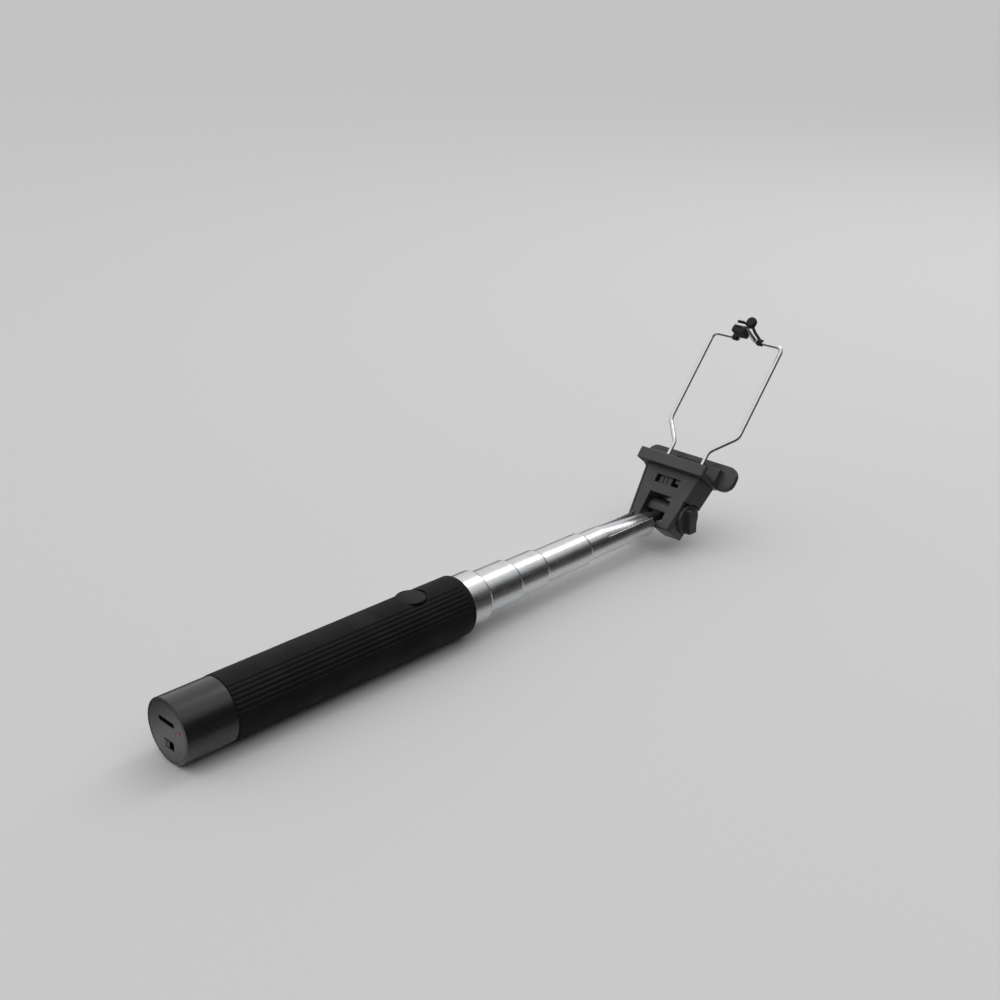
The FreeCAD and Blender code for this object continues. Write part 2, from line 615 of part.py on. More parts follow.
# ---------------------------------------------------------------- lower jaw (clamp frame)
def lower_jaw():
    """Channel that carries the bottom edge of the phone, with a plate behind it."""
    floor, seat = JAW_U
    jaw = box(floor, seat, -JAW_W, JAW_W, *JAW_N)
    jaw = round_edges(jaw, 5.0,
                      lambda bounds: bounds.XLength > 1.9 and bounds.ZMax < JAW_N[0] + 0.01)
    lip = box(floor, LIP_U, -JAW_W, JAW_W, JAW_N[1] - LIP_T, JAW_N[1])
    plate = rounded_box(5.2, "Z", floor + 0.2, BACK_PLATE_U, -BACK_PLATE_W, BACK_PLATE_W,
                        *BACK_PLATE_N)
    plate = plate.cut(rounded_box(1.5, "Z", 23.5, 28.0, -9.5, 9.5, -6, 0))
    pads = [box(seat - 0.5, 27.5, y - 2.6, y + 2.6, BACK_PLATE_N[1] - 0.5, 1.0)
            for y in (-15.5, 15.5)]
    jaw = fuse([jaw, lip, plate] + pads)
    jaw = round_edges(jaw, 1.2, lambda bounds: bounds.XLength > 3.0 and bounds.YLength < 0.01
                      and abs(abs(bounds.YMin) - JAW_W) < 0.01 and bounds.ZMin > JAW_N[1] - 0.01)
    jaw = round_edges(jaw, 0.6,
                      lambda bounds: bounds.XMin > LIP_U - 0.01 and bounds.ZLength < 0.01)
    for side in SIDES:
        screw_at = (side * JAW_SCREW_Y, JAW_SCREW_N)
        jaw = cut_all(jaw, [cyl_x(LEG_HOLE_R, 17.0, 22.0, side * LEG_Y, SPLIT_N),
                            cyl_x(0.95, 17.0, 22.0, *screw_at),
                            cyl_x(1.7, 19.6, 24.6, *screw_at)])
    return jaw


def jaw_screws():
    screws = []
    for side in SIDES:
        y = side * JAW_SCREW_Y
        screw = fuse([cyl_x(0.8, 13.8, 20.2, y, JAW_SCREW_N),
                      cyl_x(1.55, 19.62, 20.57, y, JAW_SCREW_N)])
        screws.append(cut_cross(screw, Vector(20.5, y, JAW_SCREW_N), 0, 0.3))
    return screws


def jaw_pad():
    seat = JAW_U[1]
    pad = rounded_box(0.8, "X", seat + 0.01, seat + 0.9, -17.2, 17.2,
                      1.4, JAW_N[1] - LIP_T - 0.05)
    pad = cut_all(pad, [cyl_x(WIRE_R + 0.1, 19.0, 24.0, side * LEG_Y, SPLIT_N) for side in SIDES])
    for k in range(11):
        y = -15.0 + 3.0 * k
        pad = pad.cut(box(seat + 0.65, seat + 1.2, y - 0.35, y + 0.35, 5.4, JAW_N[1]))
    return pad


# ---------------------------------------------------------------- sprung hook (clamp frame)
# corners on the +Y side of the loop that stands out over the top of the phone
LOOP_HALF = [Vector(FRAME_TOP, 4.1, FRAME_N), Vector(LOOP_U, 2.4, LOOP_N)]
LOOP_BENDS = [1.7, 1.6]


def symmetric_wire(half, bends, radius):
    """Bent wire from its +Y half and the mirror image of that half."""
    mirror = [Vector(p.x, -p.y, p.z) for p in reversed(half)]
    return bent_wire(half + mirror, bends + bends[::-1], radius)


def hook_frame():
    legs = [Vector(LEG_END_U, LEG_Y, SPLIT_N), Vector(33.0, LEG_Y, SPLIT_N),
            Vector(44.0, FRAME_W, FRAME_N), Vector(FRAME_TOP, FRAME_W, FRAME_N)]
    return symmetric_wire(legs + LOOP_HALF, [5.0, 5.0, 3.2] + LOOP_BENDS, WIRE_R)


def loop_clearance():
    """Slightly thicker loop that cuts the room of the wire."""
    return symmetric_wire([Vector(FRAME_TOP, 8.5, FRAME_N)] + LOOP_HALF, LOOP_BENDS,
                          WIRE_R + 0.03)


def hook_pad():
    def soft_block(radius, *limits):
        return round_edges(box(*limits), radius, lambda bounds: bounds.YLength < 0.01)

    pad = fuse([soft_block(1.2, 89.9, 93.4, -3.6, 3.6, 6.3, 12.9),
                soft_block(0.7, 92.6, 95.9, -2.3, 2.3, 8.4, 13.0)])
    pad = cut_all(pad, [loop_clearance(), box(LOOP_U - 1.35, LOOP_U + 1.25, -6, 6, LOOP_N, 20)])
    return max(pad.Solids, key=lambda solid: solid.Volume)


def pull_tab():
    tab = fuse([cyl_z(TAB_R, *TAB_N, u, 0) for u in TAB_U] + [box(*TAB_U, -TAB_R, TAB_R, *TAB_N)])
    # the arcs of both faces, not the short straights between them
    tab = round_edges(tab, 1.15, lambda bounds: bounds.ZLength < 0.01 and bounds.YLength > 1.2)
    arms, holes = [], []
    for side in SIDES:
        arms.append(bent_wire([Vector(97.4, side * 1.3, 5.0), Vector(95.2, side * 3.2, 3.4),
                               Vector(FRAME_TOP + 1.0, side * 6.5, FRAME_N)], [1.2], 0.7))
        y = side * PULL_RING_Y
        arms.append(cyl_y(1.62, y - 1.3, y + 1.3, FRAME_TOP, FRAME_N))
        holes.append(cyl_y(WIRE_R + 0.02, y - 2.0, y + 2.0, FRAME_TOP, FRAME_N))
    return cut_all(fuse([tab] + arms), holes + [loop_clearance()])


def leg_stops():
    return [ring_x(WIRE_R + 0.005, STOP_R, LEG_END_U, LEG_END_U + STOP_L, side * LEG_Y, SPLIT_N)
            for side in SIDES]


def return_springs():
    springs = []
    for side in SIDES:
        helix = Part.makeHelix(SPRING_L / SPRING_COILS, SPRING_L, SPRING_R)
        first = helix.Edges[0]
        spring = sweep_round(Part.Wire(helix.Edges), SPRING_WIRE_R,
                             first.valueAt(first.FirstParameter),
                             first.tangentAt(first.FirstParameter))
        spring.Placement = Placement(
            Vector(LEG_END_U + STOP_L + 0.3, side * LEG_Y, SPLIT_N), Rotation(Y_AXIS, 90))
        springs.append(spring)
    return springs


# ---------------------------------------------------------------- bolt and knob (clamp frame)
def hinge_bolt():
    return fuse([cyl_y(BOLT_R, -16.4, BOLT_HEAD_Y + 0.2, PIVOT_U, PIVOT_N),
                 hexagon(2.75, BOLT_HEAD_Y, 1.8)])


def friction_washers():
    return [ring_y(BOLT_R + 0.03, 2.9, y, y + 0.54, PIVOT_U, PIVOT_N)
            for y in (BARREL_W + 0.03, -POCKET_W + 0.03)]


def wing_knob():
    outside = KNOB_Y[0]
    disc = round_edges(cyl_y(KNOB_R, *KNOB_Y, PIVOT_U, PIVOT_N), 0.5,
                       lambda bounds: bounds.YMax < outside + 0.01)
    wing = rounded_box(0.7, "Y", -2.6, 2.6, WING_Y, outside + 0.3, -6.3, 5.6)
    wing = round_edges(wing, 0.5, lambda bounds: bounds.YMax < WING_Y + 0.8)
    for k in range(3):
        y = WING_Y + 0.6 + 0.8 * k
        for side in SIDES:
            wing = wing.cut(box(side * 2.5 - 0.3, side * 2.5 + 0.3, y, y + 0.35, -5.4, 4.8))
    # the wing stands upright, square to the stick
    turn = Placement(Vector(PIVOT_U, 0, PIVOT_N), Rotation(Y_AXIS, CLAMP_TILT))
    wing.Placement = turn.multiply(wing.Placement)
    notches = []
    for k in range(18):
        angle = math.radians(20 * k)
        notches.append(cyl_y(0.4, KNOB_Y[0] - 0.1, KNOB_Y[1] + 0.1,
                             PIVOT_U + (KNOB_R + 0.15) * math.cos(angle),
                             PIVOT_N + (KNOB_R + 0.15) * math.sin(angle)))
    knob = fuse([disc, wing]).cut(notches[0].multiFuse(notches[1:]))
    return knob.cut(cyl_y(2.0, -16.6, -10, PIVOT_U, PIVOT_N))


def knob_insert():
    return ring_y(BOLT_R + 0.03, 1.99, -16.55, KNOB_Y[1] - 0.01 + 0.0, PIVOT_U, PIVOT_N) \
        if False else ring_y(BOLT_R + 0.03, 1.99, -16.55, -SPOT_W - 0.09, PIVOT_U, PIVOT_N)


# ---------------------------------------------------------------- build
STICK_PARTS = (
    rear_cap, grip_sleeve, outer_tube, tube_5, control_board, charging_socket_shell,
    charging_socket_tongue, status_led_lens, status_led, power_switch_housing,
    power_switch_slider, battery_cell, battery_leads, board_bulkhead, button_ribbon,
    button_tray, button_dome, shutter_button, cap_screws, hinge_lug, hinge_cover, lug_rivet)
CLAMP_PARTS = (
    clamp_back_shell, clamp_front_shell, clamp_core, shell_screws, lower_jaw, jaw_screws,
    jaw_pad, hook_frame, hook_pad, pull_tab, leg_stops, return_springs, hinge_bolt,
    friction_washers, wing_knob, knob_insert)

os.makedirs("parts", exist_ok=True)
# each file has the name of its function
for part in STICK_PARTS:
    save(part.__name__, part())
for k in (1, 2, 3):
    save("tube_%d" % (k + 1), rolled_tube(k))
for k in (1, 2, 3, 4):
    save("friction_bush_%d" % (k + 1), friction_bush(k))
for part in CLAMP_PARTS:
    built = part()
    save(part.__name__,
         [in_clamp(piece) for piece in built] if isinstance(built, list) else in_clamp(built))
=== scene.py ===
"""A hand-held stick with a rubber grip, a shutter button, a hook and a jaw.

It lies along X. The bore of the grip is centred on the X axis, the shutter button sits
on top (+Z), and the floor lies just under the lowest point. Metres, +Z up.
"""
import json
import math

import bmesh
import bpy
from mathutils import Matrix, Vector

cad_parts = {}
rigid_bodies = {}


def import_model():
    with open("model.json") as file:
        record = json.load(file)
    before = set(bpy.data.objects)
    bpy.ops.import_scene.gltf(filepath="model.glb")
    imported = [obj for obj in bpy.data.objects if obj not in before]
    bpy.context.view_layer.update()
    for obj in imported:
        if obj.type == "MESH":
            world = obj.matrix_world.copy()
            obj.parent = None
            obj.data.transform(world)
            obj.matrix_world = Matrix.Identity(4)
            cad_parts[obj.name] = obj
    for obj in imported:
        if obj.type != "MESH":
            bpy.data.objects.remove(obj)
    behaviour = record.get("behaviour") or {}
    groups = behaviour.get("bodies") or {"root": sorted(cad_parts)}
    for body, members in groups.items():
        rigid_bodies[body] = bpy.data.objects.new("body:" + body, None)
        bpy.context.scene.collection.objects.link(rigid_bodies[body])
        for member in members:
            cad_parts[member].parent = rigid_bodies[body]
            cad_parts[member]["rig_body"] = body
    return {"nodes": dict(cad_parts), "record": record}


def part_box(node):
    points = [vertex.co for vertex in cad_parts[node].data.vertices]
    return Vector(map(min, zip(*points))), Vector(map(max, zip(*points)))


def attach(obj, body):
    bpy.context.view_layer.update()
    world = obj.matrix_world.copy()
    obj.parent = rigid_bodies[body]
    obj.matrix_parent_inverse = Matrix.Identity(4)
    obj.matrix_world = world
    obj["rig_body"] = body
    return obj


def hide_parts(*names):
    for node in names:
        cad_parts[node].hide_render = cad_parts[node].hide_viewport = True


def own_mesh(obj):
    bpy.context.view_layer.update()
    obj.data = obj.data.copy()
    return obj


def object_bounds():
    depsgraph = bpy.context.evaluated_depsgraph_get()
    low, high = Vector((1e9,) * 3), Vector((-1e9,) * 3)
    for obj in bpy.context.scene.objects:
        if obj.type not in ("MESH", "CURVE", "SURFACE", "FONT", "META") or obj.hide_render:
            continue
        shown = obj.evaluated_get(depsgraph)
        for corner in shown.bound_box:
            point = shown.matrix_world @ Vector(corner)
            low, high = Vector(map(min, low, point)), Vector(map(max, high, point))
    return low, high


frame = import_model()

scene = bpy.context.scene
NODES = frame["nodes"]
SLOTS = {part["node"]: part["material_slot"] for part in frame["record"]["subparts"]}


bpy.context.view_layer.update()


# ------------------------------------------------------------------ node helpers
def shade(colour, by):
    return tuple(max(0.0, min(1.0, channel * by)) for channel in colour)


class Graph:
    """Shorthand for building a node tree. Inputs take a socket to link or a plain value."""

    def __init__(self, tree):
        self.tree = tree
        self.coords = self.node("ShaderNodeTexCoord").outputs

    def feed(self, socket, value):
        if isinstance(value, bpy.types.NodeSocket):
            self.tree.links.new(value, socket)
        elif socket.type == "RGBA":
            socket.default_value = (*value, 1)
        else:
            socket.default_value = value

    def node(self, kind, inputs=None, **settings):
        node = self.tree.nodes.new(kind)
        for key, value in settings.items():
            setattr(node, key, value)
        for key, value in (inputs or {}).items():
            self.feed(node.inputs[key], value)
        return node

    # arithmetic
    def math(self, operation, a, b=0.0, clamp=False):
        node = self.node("ShaderNodeMath", {0: a, 1: b}, operation=operation, use_clamp=clamp)
        return node.outputs[0]

    def times(self, value, by):
        return self.math("MULTIPLY", value, by)

    def plus(self, a, b):
        return self.math("ADD", a, b)

    def raised(self, start, pattern, by, clamp=False):
        return self.math("ADD", start, self.times(pattern, by), clamp)

    def lowered(self, start, pattern, by, clamp=False):
        return self.math("SUBTRACT", start, self.times(pattern, by), clamp)

    def span(self, value, lo, hi, out_lo=0.0, out_hi=1.0):
        """Smooth ramp from out_lo at lo to out_hi at hi."""
        inputs = {"Value": value, "From Min": lo, "From Max": hi,
                  "To Min": out_lo, "To Max": out_hi}
        node = self.node("ShaderNodeMapRange", inputs, interpolation_type="SMOOTHSTEP")
        return node.outputs["Result"]

    # patterns
    def noise(self, scale=1.0, detail=3, rough=0.6, distortion=0.0, stretch=None, turn=(0, 0, 0)):
        """Noise over the object; stretch gives separate frequencies along x, y and z."""
        vector = self.coords["Object"]
        if stretch:
            inputs = {"Vector": vector, "Rotation": turn, "Scale": stretch}
            vector = self.node("ShaderNodeMapping", inputs).outputs[0]
        inputs = {"Vector": vector, "Scale": scale, "Detail": detail,
                  "Roughness": rough, "Distortion": distortion}
        return self.node("ShaderNodeTexNoise", inputs).outputs["Fac"]

    def cells(self, scale, feature="F1", randomness=1.0):
        inputs = {"Vector": self.coords["Object"], "Scale": scale, "Randomness": randomness}
        return self.node("ShaderNodeTexVoronoi", inputs, feature=feature).outputs["Distance"]

    # colour
    def mix(self, mask, a, b):
        node = self.node("ShaderNodeMix", {0: mask, 6: a, 7: b}, data_type="RGBA")
        return node.outputs[2]

    def mottle(self, pattern, base, dark, light, lo=0.3, hi=0.7):
        return self.mix(self.span(pattern, lo, hi), shade(base, dark), shade(base, light))

    def tint(self, tone, colour, mask, amount):
        return self.mix(self.times(mask, amount), tone, colour)

    # surface shape
    def bump(self, height, strength, distance, normal=None):
        inputs = {"Strength": strength, "Distance": distance, "Height": height}
        if normal is not None:
            inputs["Normal"] = normal
        return self.node("ShaderNodeBump", inputs).outputs[0]

    def bevel(self, radius):
        return self.node("ShaderNodeBevel", {"Radius": radius}, samples=4).outputs[0]

    def edge(self, bevel_normal, hi=0.15):
        """1 on sharp edges, 0 on open faces."""
        face_normal = self.node("ShaderNodeNewGeometry").outputs["Normal"]
        dot = self.node("ShaderNodeVectorMath", {0: bevel_normal, 1: face_normal},
                        operation="DOT_PRODUCT")
        return self.span(self.math("SUBTRACT", 1.0, dot.outputs["Value"]), lo=0.02, hi=hi)

    def crease(self, distance, lo=0.35, hi=0.95):
        """1 deep in creases, 0 in the open."""
        node = self.node("ShaderNodeAmbientOcclusion", {"Distance": distance},
                         samples=8, only_local=True)
        return self.span(node.outputs["AO"], lo, hi, out_lo=1.0, out_hi=0.0)


class Surface(Graph):
    """The node tree of one new material."""

    def __init__(self, name):
        self.material = bpy.data.materials.new(name)
        self.material.use_nodes = True
        super().__init__(self.material.node_tree)

    def finish(self, **values):
        """Feed the Principled inputs, named with underscores, and return the material."""
        principled = self.tree.nodes["Principled BSDF"]
        for key, value in values.items():
            self.feed(principled.inputs[key.replace("_", " ")], value)
        return self.material


# ------------------------------------------------------------------ materials
def plastic(name, base, rough=0.42, grain=0.35, grain_scale=5200, worn=(0.16, 0.16, 0.165),
            wear=0.35, round_radius=0.00022, specular=0.5, coat=0.0, coat_rough=0.15, dust=0.2):
    """Moulded plastic: fine grain, slight flow variation, rubbed edges, dusty corners."""
    g = Surface(name)
    soft = g.noise(scale=95, detail=4)
    flow = g.noise(stretch=(60, 240, 240))
    fine = g.noise(scale=grain_scale, detail=2)
    pits = g.cells(scale=grain_scale * 0.55)
    rounded = g.bevel(round_radius)
    rubbed = g.span(g.noise(scale=700, detail=4, rough=0.7), lo=0.38, hi=0.66)
    edge = g.times(g.edge(rounded, hi=0.20), rubbed)

    tone = g.mottle(soft, base, dark=0.88, light=1.12)
    tone = g.tint(tone, shade(base, by=1.25), g.span(flow, lo=0.35, hi=0.75), amount=0.35)
    tone = g.tint(tone, shade(base, by=1.45), g.span(fine, lo=0.45, hi=0.7), amount=0.25)
    tone = g.tint(tone, (0.10, 0.095, 0.085), g.crease(distance=0.0012), amount=dust)
    tone = g.tint(tone, worn, edge, amount=wear)

    smear = g.span(g.noise(scale=210, detail=5, rough=0.65, distortion=0.6), lo=0.35, hi=0.7)
    roughness = g.plus(g.times(smear, by=0.10), rough - 0.05)
    roughness = g.raised(roughness, fine, by=0.06)
    roughness = g.lowered(roughness, edge, by=0.10, clamp=True)
    height = g.raised(g.times(fine, by=0.7), pits, by=0.5)
    return g.finish(Base_Color=tone, Roughness=roughness,
                    Normal=g.bump(height, strength=grain, distance=0.00003, normal=rounded),
                    Coat_Weight=coat, Coat_Roughness=coat_rough, Specular_IOR_Level=specular)


def rubber(name, base, rough, specular, pebble, bump):
    """Moulded rubber: pebbled skin, painted shade in the grooves, pale specks and handling polish.
    """
    g = Surface(name)
    broad = g.noise(scale=48, detail=4)
    mottled = g.noise(scale=620, detail=4, rough=0.65)
    skin = g.cells(scale=pebble, randomness=0.9)
    fine = g.noise(scale=pebble * 2.6, detail=2, rough=0.5)

    tone = g.mottle(broad, base, dark=0.82, light=1.2, hi=0.72)
    tone = g.tint(tone, shade(base, by=1.7), g.span(mottled, lo=0.45, hi=0.8), amount=0.35)
    # painted shade: the base colour is darkened in creases and grooves, following ambient occlusion
    tone = g.tint(tone, shade(base, by=0.35), g.crease(distance=0.0011), amount=0.25)
    specks = g.span(g.cells(scale=900), lo=0.035, hi=0.018)
    tone = g.tint(tone, (0.12, 0.115, 0.105), specks, amount=0.35)

    handled = g.span(g.noise(scale=75, rough=0.5), lo=0.42, hi=0.68)
    roughness = g.lowered(rough + 0.05, handled, by=0.105)
    fine_centred = g.math("SUBTRACT", fine, 0.5)
    roughness = g.raised(roughness, fine_centred, by=0.10, clamp=True)
    height = g.raised(g.times(skin, by=0.8), fine, by=0.35)
    return g.finish(Base_Color=tone, Roughness=roughness,
                    Normal=g.bump(height, strength=bump, distance=0.00004),
                    Sheen_Weight=0.0, Sheen_Roughness=0.5, Specular_IOR_Level=specular)


def drawn_tube(name, base, rough):
    """Polished drawn tube: faint lines along X, scratches and smears, painted highlights on edges
    and painted shade in creases.
    """
    g = Surface(name)
    fine = g.noise(stretch=(14, 2600, 2600))
    wide = g.noise(stretch=(5, 700, 700))
    cloudy = g.noise(scale=120, detail=4, distortion=0.4)
    hair = g.noise(detail=1, rough=0.5, stretch=(45, 5200, 5200))
    hair = g.span(hair, lo=0.70, hi=0.76)
    stray = g.noise(detail=2, rough=0.5, stretch=(2400, 150, 150), turn=(0.2, 0.5, 0.3))
    stray = g.span(stray, lo=0.72, hi=0.78)
    marks = g.math("MAXIMUM", hair, g.times(stray, by=0.5))
    marks = g.times(marks, g.span(g.noise(scale=70, rough=0.5), lo=0.45, hi=0.65))
    rounded = g.bevel(radius=0.00028)

    tone = g.mottle(cloudy, base, dark=0.95, light=1.05)
    tone = g.tint(tone, shade(base, by=0.80), g.span(fine, lo=0.4, hi=0.7), amount=0.22)
    tone = g.tint(tone, shade(base, by=1.3), marks, amount=0.35)
    # painted highlight: a lighter base colour on every edge
    tone = g.tint(tone, shade(base, by=1.25), g.edge(rounded), amount=0.35)
    # painted shade: creases and tube mouths tinted near black, following ambient occlusion
    crease_darkening = g.crease(distance=0.0009, lo=0.2, hi=0.8)
    tone = g.tint(tone, (0.035, 0.034, 0.032), crease_darkening, amount=0.65)

    roughness = g.raised(rough - 0.03, g.span(cloudy, lo=0.35, hi=0.75), by=0.07)
    roughness = g.raised(roughness, fine, by=0.05)
    roughness = g.raised(roughness, marks, by=0.12, clamp=True)
    height = g.raised(g.times(fine, by=0.6), wide, by=0.9)
    height = g.lowered(height, marks, by=0.8)
    return g.finish(Base_Color=tone, Metallic=1.0, Roughness=roughness,
                    Normal=g.bump(height, strength=0.10, distance=0.00002, normal=rounded))


def metal(name, base, rough, dull=0.12, scale=900, bump=0.15, tarnish=(0.12, 0.11, 0.10), crease_darkening=0.5):
    """Small metal parts: faint tool marks, tarnished corners, painted highlights on edges."""
    g = Surface(name)
    cloud = g.noise(scale=scale * 0.3, detail=4)
    fine = g.noise(scale=scale * 4)
    rounded = g.bevel(radius=0.00012)

    tone = g.mottle(cloud, base, dark=1 - dull, light=1 + dull * 0.5)
    tone = g.tint(tone, tarnish, g.crease(distance=0.0007, lo=0.3, hi=0.9), amount=crease_darkening)
    # painted highlight: a lighter base colour on every edge
    tone = g.tint(tone, shade(base, by=1.3), g.edge(rounded), amount=0.4)

    roughness = g.raised(rough - 0.04, cloud, by=0.12)
    roughness = g.raised(roughness, fine, by=0.06, clamp=True)
    height = g.plus(fine, cloud)
    return g.finish(Base_Color=tone, Metallic=1.0, Roughness=roughness,
                    Normal=g.bump(height, strength=bump, distance=0.00002, normal=rounded))


def lens(name, base):
    """Glossy tinted lens with a faint painted glow from emission."""
    g = Surface(name)
    cloud = g.noise(scale=2600)
    # painted glow: the lens emits its own colour faintly, with no lamp behind it
    return g.finish(Base_Color=g.mottle(cloud, base, dark=0.85, light=1.1),
                    Roughness=g.raised(start=0.10, pattern=cloud, by=0.10),
                    Normal=g.bump(cloud, strength=0.12, distance=0.00001),
                    Coat_Weight=0.6, Coat_Roughness=0.05,
                    Emission_Color=base, Emission_Strength=0.10)


def board(name):
    """Circuit board: green mask over tracks, black above the height of the board."""
    g = Surface(name)
    track = g.cells(scale=420, feature="DISTANCE_TO_EDGE", randomness=0.35)
    track = g.span(track, lo=0.03, hi=0.05)
    axes = g.node("ShaderNodeSeparateXYZ", {0: g.coords["Object"]}).outputs
    chip = g.span(axes["Z"], lo=0.00175, hi=0.0018)

    tone = g.mix(track, (0.03, 0.22, 0.10), (0.012, 0.11, 0.05))
    tone = g.mix(chip, tone, (0.025, 0.025, 0.026))
    tone = g.tint(tone, (0.05, 0.2, 0.12), g.noise(scale=900), amount=0.2)
    return g.finish(Base_Color=tone,
                    Roughness=g.raised(start=0.28, pattern=g.noise(scale=500), by=0.2),
                    Normal=g.bump(track, strength=0.3, distance=0.00003))


def floor_paper(name):
    """Matt grey floor. In glossy rays only, it shows a painted reflection: pale near the X axis,
    dark away from it.
    """
    g = Surface(name)
    speckle = g.span(g.noise(scale=900, detail=2, rough=0.5), lo=0.35, hi=0.65)
    tone = g.mix(speckle, (0.680, 0.680, 0.680), (0.690, 0.690, 0.690))
    axes = g.node("ShaderNodeSeparateXYZ", {0: g.coords["Object"]}).outputs
    away = g.span(g.math("ABSOLUTE", axes["Y"]), lo=0.004, hi=0.052)
    # painted reflection: glossy rays see the floor near white close to the X axis and near black
    # away from it
    painted_reflection = g.mix(away, (0.95, 0.95, 0.95), (0.075, 0.075, 0.075))
    rays = g.node("ShaderNodeLightPath").outputs
    tone = g.mix(rays["Is Glossy Ray"], tone, painted_reflection)
    uneven = g.noise(scale=900, detail=2, rough=0.5)
    return g.finish(Base_Color=tone,
                    Roughness=g.raised(start=0.75, pattern=uneven, by=0.1),
                    Normal=g.bump(g.noise(scale=900), strength=0.05, distance=0.0001),
                    Specular_IOR_Level=0.2)


# material name: (maker, its options), in the order they are made
RECIPES = {
    "cap_plastic": (plastic, dict(
        base=(0.0098, 0.0098, 0.0106), rough=0.22, grain=0.08, grain_scale=4200,
        worn=(0.07, 0.07, 0.074), wear=0.30, round_radius=0.00015, specular=0.48,
        coat=0.24, coat_rough=0.08, dust=0.06)),
    "grip_rubber": (rubber, dict(
        base=(0.0048, 0.0048, 0.0051), rough=0.72, specular=0.23, pebble=2300, bump=0.45)),
    "polished_steel": (drawn_tube, dict(base=(0.64, 0.65, 0.665), rough=0.24)),
    "circuit_board": (board, {}),
    "nickel_steel": (metal, dict(base=(0.60, 0.59, 0.56), rough=0.26)),
    "moulded_black": (plastic, dict(
        base=(0.010, 0.010, 0.0105), rough=0.50, dust=0.1, worn=(0.07, 0.07, 0.072))),
    "red_lens": (lens, dict(base=(0.30, 0.008, 0.022))),
    "white_plastic": (plastic, dict(
        base=(0.70, 0.69, 0.66), worn=(0.8, 0.8, 0.78), wear=0.2, dust=0.35)),
    "cell_wrap": (plastic, dict(
        base=(0.06, 0.16, 0.42), rough=0.25, grain=0.1, worn=(0.2, 0.3, 0.5), coat=0.4)),
    "lead_red": (plastic, dict(base=(0.45, 0.03, 0.03), rough=0.4, worn=(0.6, 0.2, 0.2))),
    "ribbon_amber": (plastic, dict(
        base=(0.42, 0.20, 0.03), rough=0.25, grain=0.1, worn=(0.6, 0.4, 0.2), coat=0.3)),
    "screw_steel": (metal, dict(base=(0.40, 0.40, 0.41), rough=0.34)),
    "button_plastic": (rubber, dict(
        base=(0.0060, 0.0060, 0.0063), rough=0.68, specular=0.28, pebble=3600, bump=0.25)),
    "switch_black": (plastic, dict(
        base=(0.0115, 0.0115, 0.0122), rough=0.26, grain=0.1, worn=(0.08, 0.08, 0.084),
        dust=0.06, specular=0.52, coat=0.28)),
    "washer_steel": (metal, dict(base=(0.30, 0.30, 0.305), rough=0.38)),
    "clamp_plastic": (plastic, dict(
        base=(0.036, 0.036, 0.0375), rough=0.40, grain=0.32, worn=(0.17, 0.17, 0.175),
        wear=0.45, round_radius=0.00035, specular=0.6)),
    "pad_rubber": (rubber, dict(
        base=(0.014, 0.014, 0.0145), rough=0.66, specular=0.35, pebble=3000, bump=0.35)),
    "spring_steel": (metal, dict(base=(0.46, 0.46, 0.46), rough=0.28)),
    "knob_plastic": (plastic, dict(
        base=(0.032, 0.032, 0.0335), rough=0.38, grain=0.25, worn=(0.16, 0.16, 0.165),
        wear=0.5, round_radius=0.00028, specular=0.55)),
    "brass": (metal, dict(base=(0.70, 0.50, 0.20), rough=0.30, tarnish=(0.16, 0.10, 0.04))),
    "wire_steel": (metal, dict(
        base=(0.70, 0.71, 0.72), rough=0.12, dull=0.05, scale=700, bump=0.05, crease_darkening=0.25)),
}
MATERIALS = {name: maker(name, **options) for name, (maker, options) in RECIPES.items()}
# pieces whose material differs from their slot
SPECIAL = {"hook_frame": "wire_steel"}


def dress(obj, material):
    if not obj.material_slots:
        obj.data.materials.append(material)
    for slot in obj.material_slots:
        slot.link = "OBJECT"
        slot.material = material


for node_name, piece in NODES.items():
    dress(piece, MATERIALS[SPECIAL.get(node_name, SLOTS[node_name])])


# ------------------------------------------------------------------ replacing CAD pieces
def stand_in(obj, node, body, slot):
    """Make obj take the place of a CAD piece."""
    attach(obj, body)
    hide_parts(node)
    dress(obj, MATERIALS[slot])


def copy_piece(node, name):
    obj = bpy.data.objects.new(name, NODES[node].data.copy())
    scene.collection.objects.link(obj)
    return obj


def softened(node, voxel, smooth_steps):
    """A soft moulded copy of a CAD solid: remeshed, then relaxed so its edges roll over."""
    obj = copy_piece(node, f"{node}_rubber")
    weld = obj.modifiers.new("weld", "WELD")
    weld.merge_threshold = 1e-6
    remesh = obj.modifiers.new("remesh", "REMESH")
    remesh.mode = "VOXEL"
    remesh.voxel_size = voxel
    remesh.adaptivity = 0.0
    relax = obj.modifiers.new("relax", "SMOOTH")
    relax.factor = 0.5
    relax.iterations = smooth_steps
    bpy.context.view_layer.update()
    depsgraph = bpy.context.evaluated_depsgraph_get()
    mesh = bpy.data.meshes.new_from_object(obj.evaluated_get(depsgraph))
    obj.modifiers.clear()
    obj.data = mesh
    for polygon in mesh.polygons:
        polygon.use_smooth = True
    stand_in(obj, node, NODES[node]["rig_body"], SLOTS[node])


def flattened(node, name):
    """A copy of a CAD spring that takes its place, with a mesh of its own."""
    obj = copy_piece(node, name)
    stand_in(obj, node, NODES[node]["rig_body"], SLOTS[node])
    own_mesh(obj)


# ------------------------------------------------------------------ rubber grip sleeve
sleeve_low, sleeve_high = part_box("grip_sleeve")
button_low, button_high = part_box("shutter_button")
GRIP_START, GRIP_END = sleeve_low.x, sleeve_high.x
OUTER_RADIUS = (sleeve_high.y - sleeve_low.y) / 2
OUTER_Z = -0.0004           # height of the outer skin's centre line
BORE_RADIUS = 0.01112       # the bore is centred on z = 0

